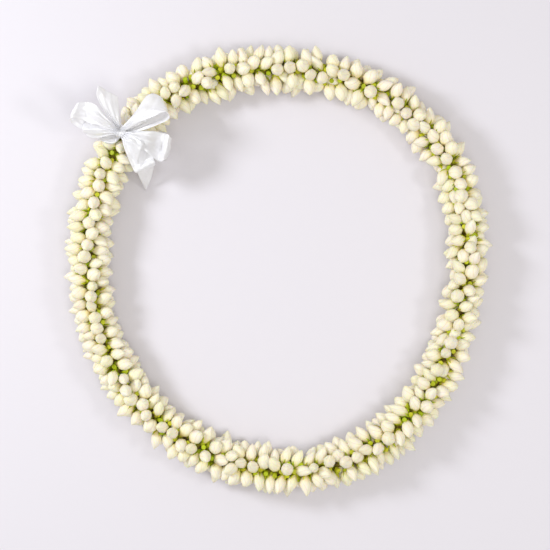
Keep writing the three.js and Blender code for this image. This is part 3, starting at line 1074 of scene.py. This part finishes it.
def ribbonRun(name, stations, middle):
    tail = name.startswith("tail")
    edgeA = smoothLine([st[0] for st in stations], bow["along"]) / 1000
    edgeB = smoothLine([st[1] for st in stations], bow["along"]) / 1000
    proud = smoothLine([[st[2]] for st in stations], bow["along"]) / 1000
    u = np.linspace(0, 1, bow["across"] + 1)
    grid = edgeA[:, None, :] * (1 - u)[None, :, None] + edgeB[:, None, :] * u[None, :, None]
    grid[..., 2] += bow["lift"].get(name, 0) * np.hypot(grid[..., 0], grid[..., 1])
    line = (edgeA + edgeB) / 2
    out = np.cross(edgeB - edgeA, np.gradient(line, axis=0))
    out /= np.linalg.norm(out, axis=1)[:, None] + 1e-12
    if out[len(out) // (2 if tail else 4), 2] < 0:
        out = -out
    far = np.linalg.norm(line, axis=1)[:, None]
    count, depth, fade = bow["pleats"]
    pleats = depth * np.exp(-far / fade) * zigzag(count * u)
    height, waves, length = bow["ripple"]
    ripple = height * np.sin(fullTurn * (waves * u + far / length))
    crown = np.sin(math.pi * u) ** bow["crown"]
    grid = grid + out[:, None, :] * (proud * crown + pleats + ripple)[..., None]
    share, soft = bow["topShare"]
    upper = np.ones(bow["along"]) if tail else (share - np.linspace(0, 1, bow["along"])) / soft
    for start, end, height, wide in bowFolds[name]:
        start, end = np.array(start) / 1000, np.array(end) / 1000
        reach = end - start
        t = np.clip(((grid[..., :2] - start) @ reach) / (reach @ reach), 0, 1)
        away = np.linalg.norm(grid[..., :2] - start - t[..., None] * reach, axis=2)
        tent = height * np.clip(1 - away * 1000 / wide, 0, 1) * np.clip(upper, 0, 1)[:, None]
        grid = grid + out[:, None, :] * tent[..., None] / 1000
    return clothMesh(name, grid + middle)


def ribbonKnot(middle):
    # the turn of gathered ribbon that holds the bow
    heading = math.radians(knot["heading"])
    along = np.array([math.cos(heading), math.sin(heading), 0])
    side = np.array([-math.sin(heading), math.cos(heading), 0])
    turn = np.linspace(0, fullTurn, knot["steps"][0] + 1)[:-1, None]
    high = np.sign(np.sin(turn)) * np.abs(np.sin(turn)) ** knot["roundness"]
    u = np.linspace(-1, 1, knot["steps"][1] + 1)
    (taper, power), (folds, count) = knot["taper"], knot["folds"]
    swell = 1 - taper * np.abs(u) ** power + folds * np.cos(fullTurn * count * u)
    grid = (middle + knot["halfLength"] * u[:, None] * along
            + (knot["halfWidth"] * swell * np.cos(turn))[..., None] * side
            + (knot["halfHeight"] * swell * high)[..., None] * np.array([0, 0, 1.0]))
    return clothMesh("knot", grid, closed=True)


def ribbonBand():
    # the gathered ribbon round the stalks: tight pleats take up its whole width
    phi = np.linspace(0, fullTurn, band["steps"][0] + 1)[:-1, None] + math.pi / 2
    towards = np.clip(np.sin(phi), 0, 1) ** band["drawn"]
    radius = band["radius"] + towards * (band["top"] - band["radius"])
    u = np.linspace(-1, 1, band["steps"][1] + 1)
    wide, narrow = band["halfWidth"]
    count, depth = band["pleats"]
    s = (wide + towards * (narrow - wide)) * u
    grid = around(s, phi, radius + depth * zigzag(count * (u + 1) / 2))
    return clothMesh("band", grid, closed=True)


def makeBow():
    middle = knotPlace + np.array(bow["knotShift"])
    parts = [ribbonRun(name, stations, middle) for name, stations in bowRuns.items()]
    parts += [ribbonKnot(middle), ribbonBand()]
    made = joinAll("satinBow", parts)
    made.data.materials.append(satin)
    onlySelect(made)
    thick = made.modifiers.new("thickness", "SOLIDIFY")
    thick.thickness = bow["thickness"]
    thick.offset = 0
    bpy.ops.object.modifier_apply(modifier=thick.name)
    made.data.shade_smooth()
    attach(made, "root")
    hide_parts("ribbon_bow")


makeBow()
print("bow made")

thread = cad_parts["thread"]
thread.data.materials.clear()
thread.data.materials.append(cotton)

view = {
    "height": 1.30,
    "offset": (-0.0032, -0.0070),    # from the middle of the ring
    "lens": 103.9,
    "sensor": 36,
}


def ringCentre():
    # the point that the ring's radius is measured from
    angle = np.array([math.radians(lei["knotAngle"])])
    return ringPlace[0] - ringRadius(angle) * np.array([math.cos(angle[0]), math.sin(angle[0])])


def makeCamera():
    data = bpy.data.cameras.new("camera")
    data.lens = view["lens"]
    data.sensor_width = view["sensor"]
    data.dof.use_dof = False
    camera = bpy.data.objects.new("camera", data)
    camera.location = (*(ringCentre() + view["offset"]), view["height"])
    scene.collection.objects.link(camera)
    scene.camera = camera


def makeFloor():
    onlySelect()
    bpy.ops.mesh.primitive_plane_add(size=4, location=(0, 0, 0))
    made = bpy.context.object
    made.name = "paperFloor"
    made.data.materials.append(paperFloor)


makeCamera()
makeFloor()
print("camera and floor made")

lights = {
    "key": {"azimuth": 160, "elevation": 38, "distance": 1.2, "size": 0.32, "power": 6.95,
            "tint": (0.925, 0.945, 1)},
    "top": {"azimuth": -60, "elevation": 76, "distance": 1.75, "size": 0.9, "power": 6.9,
            "tint": (1, 0.99, 0.99)},
    "side": {"azimuth": -6, "elevation": 50, "distance": 1.2, "size": 0.25, "power": 2.0,
             "tint": (1, 1, 1)},
}
studio = {"colour": (1.0, 0.972, 0.932, 1), "strength": 0.525}


def makeLights():
    for name, sizes in lights.items():
        data = bpy.data.lights.new(name, "AREA")
        data.shape = "DISK"
        data.size = sizes["size"]
        data.energy = sizes["power"]
        data.color = sizes["tint"]
        light = bpy.data.objects.new(name, data)
        a, e = math.radians(sizes["azimuth"]), math.radians(sizes["elevation"])
        way = Vector((math.cos(a) * math.cos(e), math.sin(a) * math.cos(e), math.sin(e)))
        light.location = way * sizes["distance"]
        light.rotation_euler = way.to_track_quat("Z", "Y").to_euler()
        scene.collection.objects.link(light)
    world = bpy.data.worlds.new("studio")
    world.use_nodes = True
    background = world.node_tree.nodes["Background"]
    background.inputs["Color"].default_value = studio["colour"]
    background.inputs["Strength"].default_value = studio["strength"]
    scene.world = world


makeLights()
scene.view_settings.view_transform = "Standard"
scene.view_settings.look = "None"
print("lights made")

print("scene made")
